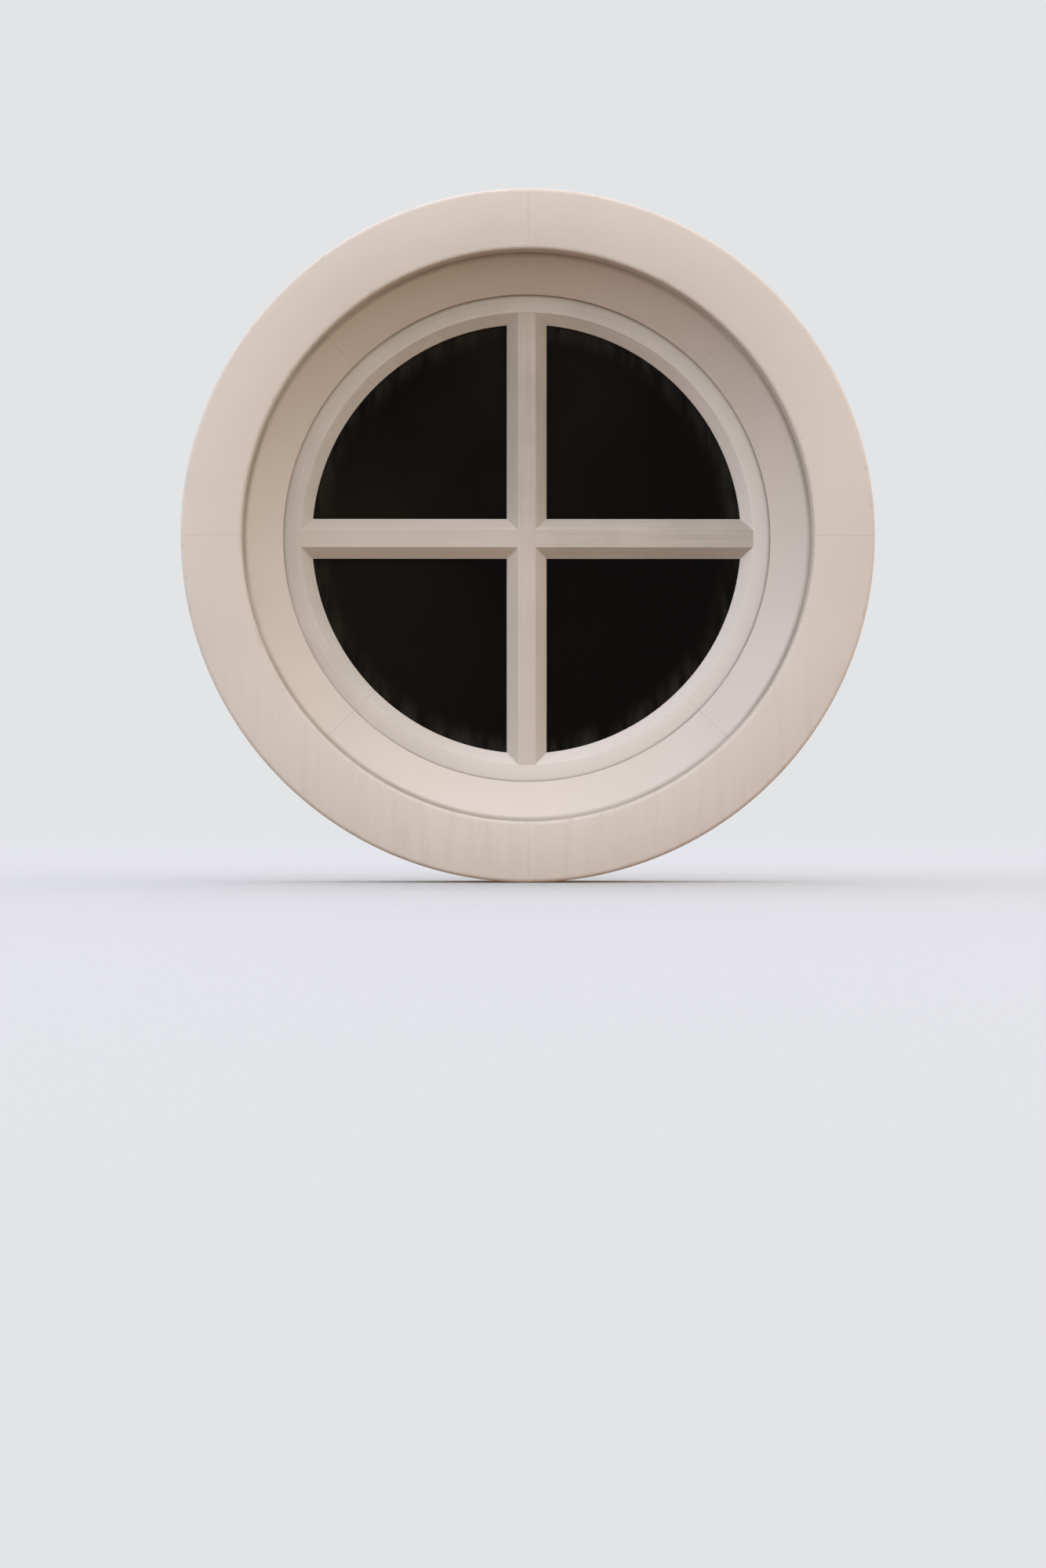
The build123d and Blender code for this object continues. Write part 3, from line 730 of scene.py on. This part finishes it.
def faceOutline():
    inner = faceRing["innerRadius"]
    edge = faceFront + faceRing["crown"]
    half = (rimRadius - inner) / 2
    middle = inner + half
    bend = (half**2 + faceRing["crown"] ** 2) / (2 * faceRing["crown"])
    corners = [
        (inner, ringJoint, faceRing["backRounding"]),
        (inner, edge, faceRing["edgeRounding"]),
    ]
    for step in range(1, faceRing["crownSteps"]):
        across = inner + 2 * half * step / faceRing["crownSteps"]
        sunk = bend - math.sqrt(bend**2 - (across - middle) ** 2)
        corners.append((across, faceFront + sunk, 0.0))
    corners.append((rimRadius, edge, faceRing["edgeRounding"]))
    corners.append((rimRadius, ringJoint, faceRing["backRounding"]))
    return outlineMesh("faceOutline", corners, 7, 0.6)


ringSegments("face_ring", quadrantTurns, 0, faceOutline(), facePaint, faceRing)
print("face ring made")

jambRing = {
    "splayOuter": 274.0,
    "noseRadius": 238.0,
    "housingRadius": 250.0,
    "splayDepth": 34.0,
    "noseLand": 4.0,
    "ribRadius": 243.5,
    "ribWidth": 3.0,
    "ribDepth": 3.0,
    "noseRounding": 1.2,
    "backRounding": 1.0,
    "steps": 60,
    "endGap": 0.03,
    "arris": 0.09,
    "pocketRadius": 6.5,
    "pocketDepth": 46.0,
    "pocketPlace": 305.5,
    "grooveWidth": 26.6,
    "grooveDepth": 3.0,
    "grooveLength": 76.3,
}


def jambOutline():
    splayBack = ringJoint + jambRing["splayDepth"]
    seat = splayBack + jambRing["noseLand"]
    rib = [jambRing["ribRadius"] + sign * jambRing["ribWidth"] / 2 for sign in (-1, 1)]
    corners = [
        (jambRing["splayOuter"], ringJoint, 0.0),
        (jambRing["noseRadius"], splayBack, jambRing["noseRounding"]),
        (jambRing["noseRadius"], seat, jambRing["noseRounding"]),
        (rib[0], seat, 0.0),
        (rib[0], seat - jambRing["ribDepth"], 0.0),
        (rib[1], seat - jambRing["ribDepth"], 0.0),
        (rib[1], seat, 0.0),
        (jambRing["housingRadius"], seat, 0.0),
        (jambRing["housingRadius"], jambBack, jambRing["backRounding"]),
        (rimRadius, jambBack, jambRing["backRounding"]),
        (rimRadius, ringJoint, 0.3),
    ]
    return outlineMesh("jambOutline", corners, 5, 0.7)


def cutterFrom(name, build):
    # A closed mesh that a Boolean takes away, built by bmesh calls
    shell = bmesh.new()
    build(shell)
    mesh = bpy.data.meshes.new(name)
    shell.to_mesh(mesh)
    shell.free()
    cutter = bpy.data.objects.new(name, mesh)
    bpy.context.scene.collection.objects.link(cutter)
    return cutter


def jambCutters(turn):
    # Two pockets for the ring screws, from the back, and the groove for the strap, in the rim
    spare = 1.0
    deep = jambRing["pocketDepth"] + spare

    def pockets(shell):
        for place in (-22.5, 22.5):
            spot = direction(turn + place) * jambRing["pocketPlace"] * mm
            spot.y = (jambBack + spare - deep / 2) * mm
            bmesh.ops.create_cone(
                shell,
                cap_ends=True,
                segments=40,
                radius1=jambRing["pocketRadius"] * mm,
                radius2=jambRing["pocketRadius"] * mm,
                depth=deep * mm,
                matrix=Matrix.Translation(spot) @ Matrix.Rotation(math.radians(90), 4, "X"),
            )

    def groove(shell):
        floor = rimRadius - jambRing["grooveDepth"]
        spot = direction(turn) * (floor + 4) * mm
        spot.y = (jambBack - jambRing["grooveLength"] + 50) * mm
        sizes = Matrix.Diagonal((jambRing["grooveWidth"] * mm, 100 * mm, 8 * mm, 1.0))
        bmesh.ops.create_cube(
            shell,
            size=1.0,
            matrix=Matrix.Translation(spot) @ Matrix.Rotation(math.radians(turn), 4, "Y") @ sizes,
        )

    return [cutterFrom("pocketCutter", pockets), cutterFrom("grooveCutter", groove)]


ringSegments("jamb", sideTurns, 45, jambOutline(), jambPaint, jambRing, jambCutters)
print("jamb ring made")

sashRing = {
    "rimRadius": 247.0,
    "sightRadius": 210.0,
    "rebateRadius": 224.0,
    "bevelWidth": 11.0,
    "bevelDepth": 11.0,
    "sightEdge": 3.0,
    "rounding": 1.2,
    "steps": 60,
    "endGap": 0.03,
    "arris": 0.09,
}
sightShoulder = sashFront + sashRing["bevelDepth"] + sashRing["sightEdge"]


def sashOutline(rounding):
    corners = [
        (sashRing["sightRadius"] + sashRing["bevelWidth"], sashFront, rounding),
        (sashRing["rimRadius"], sashFront, 0.0),
        (sashRing["rimRadius"], sashBack, rounding / 2),
        (sashRing["rebateRadius"], sashBack, rounding / 2),
        (sashRing["rebateRadius"], sightShoulder, 0.0),
        (sashRing["sightRadius"], sightShoulder, rounding / 4),
        (sashRing["sightRadius"], sashFront + sashRing["bevelDepth"], rounding),
    ]
    return outlineMesh("sashOutline", corners, 5, 0.5)


ringSegments("sash", sideTurns, 45, sashOutline(sashRing["rounding"]), sashPaint, sashRing)
print("sash ring made")

# Glazing bars, coped to the sash and to each other
bars = {"halfWidth": 19.5, "coreHalf": 5.5, "rounding": 1.2, "backRounding": 0.6, "reach": 235.5}


def barOutline():
    half, core = bars["halfWidth"], bars["coreHalf"]
    rounding, bevel = bars["rounding"], sashFront + sashRing["bevelDepth"]
    side = [
        (half - sashRing["bevelWidth"], sashFront, rounding),
        (half, bevel, rounding),
        (half, sightShoulder, rounding / 4),
        (core, sightShoulder, 0.0),
        (core, sashBack, bars["backRounding"]),
    ]
    otherSide = [(-across, depth, edge) for across, depth, edge in reversed(side)]
    return outlineMesh("barOutline", side + otherSide, 5, 0.5)


wholeSash = shape(
    "wholeSash",
    sashOutline(sashRing["rounding"]),
    ringSweep,
    {"Start": 0.0, "Span": math.tau, "End Gap": 0.0, "Steps": 240, "Capped": False},
)


def glazingBar(node, along, across, start, finish, cuts):
    values = {
        "Along": along,
        "Across": across,
        "From": start * mm,
        "To": finish * mm,
        "Finish": barPaint,
    }
    piece = shape(camelName(node), barOutline(), barSweep, values, cuts)
    layBarGrain(piece, along, across)
    finishPiece(piece, "painted_timber", node)
    return piece


up, right = Vector((0.0, 0.0, 1.0)), Vector((1.0, 0.0, 0.0))
upright = glazingBar("glazing_bar_upright", up, right, -bars["reach"], bars["reach"], [wholeSash])
glazingBar("glazing_bar_right", right, up, 0.0, bars["reach"], [wholeSash, upright])
glazingBar("glazing_bar_left", right, up, -bars["reach"], 0.0, [wholeSash, upright])
bpy.data.objects.remove(wholeSash)
print("glazing bars made")

# Curved beads on the room side
curvedBead = {"chamfer": 3.0, "rounding": 0.5, "steps": 48, "fitGap": 0.06}
beadFront = boxSize("bead_curved_upper_right", 0, 1)


def curvedBeads():
    outer, inner = sashRing["rebateRadius"] - curvedBead["fitGap"], sashRing["sightRadius"]
    corners = [
        (outer, beadFront, 0.0),
        (inner, beadFront, curvedBead["rounding"]),
        (inner, sashBack - curvedBead["chamfer"], curvedBead["rounding"]),
        (inner + curvedBead["chamfer"], sashBack, curvedBead["rounding"]),
        (outer, sashBack, 0.0),
    ]
    outline = outlineMesh("beadOutline", corners, 4, 0.4)
    for side, turn in quadrantTurns.items():
        node = "bead_curved_" + side
        values = {
            "Start": math.radians(turn),
            "Span": math.pi / 2,
            "End Gap": (bars["coreHalf"] + curvedBead["fitGap"]) * mm,
            "Steps": curvedBead["steps"],
            "Capped": True,
            "Finish": sashPaint,
        }
        piece = shape(camelName(node), outline.copy(), ringSweep, values)
        layRingGrain(piece, turn + 45)
        finishPiece(piece, "painted_timber", node)


curvedBeads()
print("curved beads made")

# Screws and pins, one tree for each kind, set on points that face the way of their heads

def fastenerGraph(name, crossed):
    floats = ("Head Radius", "Head Height", "Shank Radius", "Length", "Slot Depth")
    graph = ShapeGraph(name, {**{label: "Float" for label in floats}, "Sides": "Int"})
    given = graph.given
    headSizes = {
        "Vertices": given["Sides"],
        "Radius Top": given["Head Radius"],
        "Radius Bottom": given["Shank Radius"],
        "Depth": given["Head Height"],
    }
    head = graph.add("GeometryNodeMeshCone", inputs=headSizes)
    underside = Wire(graph, head.socket.node.outputs["Bottom"])
    shank = graph.join(0.0, 0.0, given["Head Height"] - given["Length"])
    drawn = {
        "Mesh": graph.moved(head, given["Head Height"] * -1.0),
        "Selection": underside,
        "Offset": shank,
    }
    body = graph.add("GeometryNodeExtrudeMesh", {"mode": "FACES"}, drawn)
    if crossed:
        # One slot is a touch deeper, because cutting with two floors in one plane leaves open edges
        long, narrow = given["Head Radius"] * 1.15, given["Head Radius"] * 0.27
        deep, deeper = given["Slot Depth"] * 2.0, given["Slot Depth"] * 2.1
        sizes = [graph.join(long, narrow, deep), graph.join(narrow, long, deeper)]
        slots = [graph.add("GeometryNodeMeshCube", inputs={"Size": size}) for size in sizes]
        cut = {"Mesh 1": body, "Mesh 2": slots}
        body = graph.add("GeometryNodeMeshBoolean", {"operation": "DIFFERENCE"}, cut)
    aim = {"Vector": graph.read("facing", "FLOAT_VECTOR")}
    facing = graph.add("FunctionNodeAlignRotationToVector", {"axis": "Z"}, aim)
    seats = {"Points": given["Base"], "Instance": body, "Rotation": facing}
    placed = graph.add("GeometryNodeInstanceOnPoints", inputs=seats)
    chance = {"Max_001": 1.57, "Seed": 11}
    spin = graph.add("FunctionNodeRandomValue", {"data_type": "FLOAT"}, chance, "Value_001")
    turns = {"Instances": placed, "Rotation": graph.join(0.0, 0.0, spin)}
    graph.end(graph.add("GeometryNodeRotateInstances", inputs=turns))
    return graph


def fasteners(node, slot, seats, graph, details):
    # seats are (place in millimetres, direction of the head)
    mesh = bpy.data.meshes.new(node)
    mesh.from_pydata([place * mm for place, facing in seats], [], [])
    marks = mesh.attributes.new("facing", "FLOAT_VECTOR", "POINT")
    for mark, (place, facing) in zip(marks.data, seats):
        mark.vector = facing
    values = {
        "Head Radius": details["headRadius"] * mm,
        "Head Height": details["headHeight"] * mm,
        "Shank Radius": details["shankRadius"] * mm,
        "Length": details["length"] * mm,
        "Slot Depth": details.get("slotDepth", 0.0) * mm,
        "Sides": details["sides"],
        "Finish": slotFinishes[slot],
    }
    piece = shape(camelName(node), mesh, graph, values)
    finishPiece(piece, slot, node)


def atDepth(point, depth):
    return Vector((point.x, depth, point.z))


crossScrew = fastenerGraph("crossScrew", True)
plainPin = fastenerGraph("plainPin", False)
roomward = Vector((0.0, 1.0, 0.0))
ringScrews = {
    "headRadius": 5.5,
    "headHeight": 3.5,
    "shankRadius": 3.0,
    "length": 66.0,
    "slotDepth": 2.2,
    "sides": 32,
    "turns": [22.5 + 45 * index for index in range(8)],
}
pocketFloor = jambBack - jambRing["pocketDepth"]
ringSeats = [
    (atDepth(direction(turn) * jambRing["pocketPlace"], pocketFloor), roomward)
    for turn in ringScrews["turns"]
]
fasteners("ring_screws", "screw_steel", ringSeats, crossScrew, ringScrews)
strapScrews = {
    "headRadius": 4.2,
    "headHeight": 2.0,
    "shankRadius": 2.2,
    "length": 34.0,
    "slotDepth": 1.4,
    "sides": 32,
    "sunk": 1.0,
    "depths": (62.0, 102.0),
}
strapFace = rimRadius - strapScrews["sunk"]
strapSeats = [
    (atDepth(direction(turn) * strapFace, depth), direction(turn))
    for turn in sideTurns.values()
    for depth in strapScrews["depths"]
]
fasteners("strap_screws", "screw_steel", strapSeats, crossScrew, strapScrews)
beadPins = {
    "headRadius": 1.4,
    "headHeight": 0.8,
    "shankRadius": 0.8,
    "length": 18.0,
    "sides": 12,
    "behindBeadFront": 6.0,
    "curvedTurns": (16, 36, 54, 74),
    "straightPlaces": (42.0, 108.0, 174.0),
}
pinDepth = beadFront + beadPins["behindBeadFront"]
pinSeats = []
for turn in quadrantTurns.values():
    for place in beadPins["curvedTurns"]:
        outward = direction(turn + place)
        pinSeats.append((atDepth(outward * sashRing["sightRadius"], pinDepth), -outward))
    for side in (1, -1):
        barTurn = turn if side > 0 else turn + 90
        across = direction(barTurn + side * 90)
        for place in beadPins["straightPlaces"]:
            seat = direction(barTurn) * place + across * bars["halfWidth"]
            pinSeats.append((atDepth(seat, pinDepth), across))
fasteners("bead_pins", "pin_steel", pinSeats, plainPin, beadPins)
print("screws and pins made")

# Pieces that keep the frame's own shape get their finish by slot, and straight beads by their run
slotOf = {part["node"]: part["material_slot"] for part in frame["record"]["subparts"]}
for node, solid in frame["nodes"].items():
    finish = slotFinishes.get(slotOf[node], barPaint)
    if node.startswith("bead_level"):
        finish = levelPaint
    elif node.startswith("bead_upright"):
        finish = uprightPaint
    for slot in solid.material_slots:
        slot.material = finish
print("frame's own pieces finished")

# Stage, light and camera
studio = {
    "background": (0.76, 0.775, 0.79, 1.0),
    "skyHeights": (-0.02, 0.3, 0.6, 0.85, 1.0),
    "skyLeft": [
        (1.52, 1.62, 1.55, 1.0),
        (1.68, 1.88, 2.15, 1.0),
        (1.80, 1.99, 2.45, 1.0),
        (1.64, 1.68, 1.89, 1.0),
        (1.21, 1.18, 1.15, 1.0),
    ],
    "skyRight": [
        (1.68, 1.68, 1.05, 1.0),
        (1.68, 1.62, 1.37, 1.0),
        (1.62, 1.53, 1.66, 1.0),
        (1.44, 1.33, 1.37, 1.0),
        (1.10, 1.03, 0.95, 1.0),
    ],
    "groundLeft": (0.285, 0.200, 0.120, 1.0),
    "groundRight": (0.282, 0.150, 0.110, 1.0),
    "floor": (0.485, 0.482, 0.478, 1.0),
    "fadeStart": 1.5,
    "fadeEnd": 7.0,
    "floorGap": 0.0003,
    "floorReach": 60.0,
}


def seenRays(graph):
    # 1 for what the camera, a reflection or glass shows, 0 for what lights the object
    rays = graph.tree.nodes.new("ShaderNodeLightPath")
    names = ("Is Camera Ray", "Is Glossy Ray", "Is Transmission Ray")
    seen, mirrored, through = [Wire(graph, rays.outputs[name]) for name in names]
    return graph.maths("MINIMUM", seen + mirrored + through, 1.0)


def skySide(graph, height, colours):
    # Runs through the colours from the horizon to the zenith
    sky = colours[0]
    heights = studio["skyHeights"]
    for low, high, colour in zip(heights, heights[1:], colours[1:]):
        sky = graph.blend(graph.smooth(height, low, high), sky, colour)
    return sky


def buildWorld():
    world = bpy.data.worlds.new("studioWorld")
    world.use_nodes = True
    graph = Graph(world.node_tree)
    across, forward, height = graph.split(graph.add("ShaderNodeTexCoord", output="Generated"))
    left, right = [skySide(graph, height, studio[side]) for side in ("skyLeft", "skyRight")]
    sky = graph.blend(graph.smooth(across, -0.8, 0.8), left, right)
    lit = graph.add("ShaderNodeBackground", inputs={"Color": sky, "Strength": 1.0})
    backdrop = {"Color": studio["background"], "Strength": 1.0}
    shown = graph.add("ShaderNodeBackground", inputs=backdrop)
    mixed = graph.add("ShaderNodeMixShader", inputs={0: seenRays(graph), 1: lit, 2: shown})
    result = graph.tree.nodes.new("ShaderNodeOutputWorld")
    graph.tree.links.new(mixed.socket, result.inputs["Surface"])
    bpy.context.scene.world = world


def buildFloor():
    # Pale for the camera, and for the object a dimmer ground with a glow of its own
    material, graph = startFinish("studioFloor")
    place = objectPlace(graph)
    x, y, z = graph.split(place)
    seen = seenRays(graph)
    grainy = graph.noise(place, 90.0, 4.0, 0.6)
    finish = {"Base Color": studio["floor"], "Roughness": graph.smooth(grainy, 0.2, 0.8, 0.8, 0.95)}
    surface = graph.add("ShaderNodeBsdfPrincipled", inputs=finish)
    away = graph.maths("SQRT", x * x + y * y)
    backdrop = {"Color": studio["background"], "Strength": 1.0}
    paper = graph.add("ShaderNodeEmission", inputs=backdrop)
    fade = graph.smooth(away, studio["fadeStart"], studio["fadeEnd"])
    shown = graph.add("ShaderNodeMixShader", inputs={0: fade, 1: surface, 2: paper})
    side = graph.smooth(x / (away + 0.2), -0.8, 0.8)
    ground = graph.blend(side, studio["groundLeft"], studio["groundRight"])
    glow = graph.add("ShaderNodeEmission", inputs={"Color": ground, "Strength": 1.0})
    mixed = graph.add("ShaderNodeMixShader", inputs={0: seen, 1: glow, 2: shown})
    result = graph.tree.nodes.new("ShaderNodeOutputMaterial")
    graph.tree.links.new(mixed.socket, result.inputs["Surface"])
    mesh = bpy.data.meshes.new("studioFloor")
    low, far = cadBox[0][2] - studio["floorGap"], studio["floorReach"]
    corners = [(-far, -far, low), (far, -far, low), (far, far, low), (-far, far, low)]
    mesh.from_pydata(corners, [], [(0, 1, 2, 3)])
    mesh.materials.append(material)
    floor = bpy.data.objects.new("studioFloor", mesh)
    bpy.context.scene.collection.objects.link(floor)


buildWorld()
buildFloor()

camera = {"eye": (-0.09, -5.5, -0.24), "aim": -0.0048, "lens": 130.8, "sensor": 36.0}
lens = bpy.data.cameras.new("camera")
lens.lens = camera["lens"]
lens.sensor_width = camera["sensor"]
viewer = bpy.data.objects.new("camera", lens)
eye = Vector(camera["eye"])
viewer.location = eye
viewer.rotation_euler = (math.radians(90), 0.0, -math.atan2(camera["aim"] - eye.x, -eye.y))
bpy.context.scene.collection.objects.link(viewer)
bpy.context.scene.camera = viewer
bpy.context.scene.view_settings.view_transform = "Standard"
print("stage and camera made")
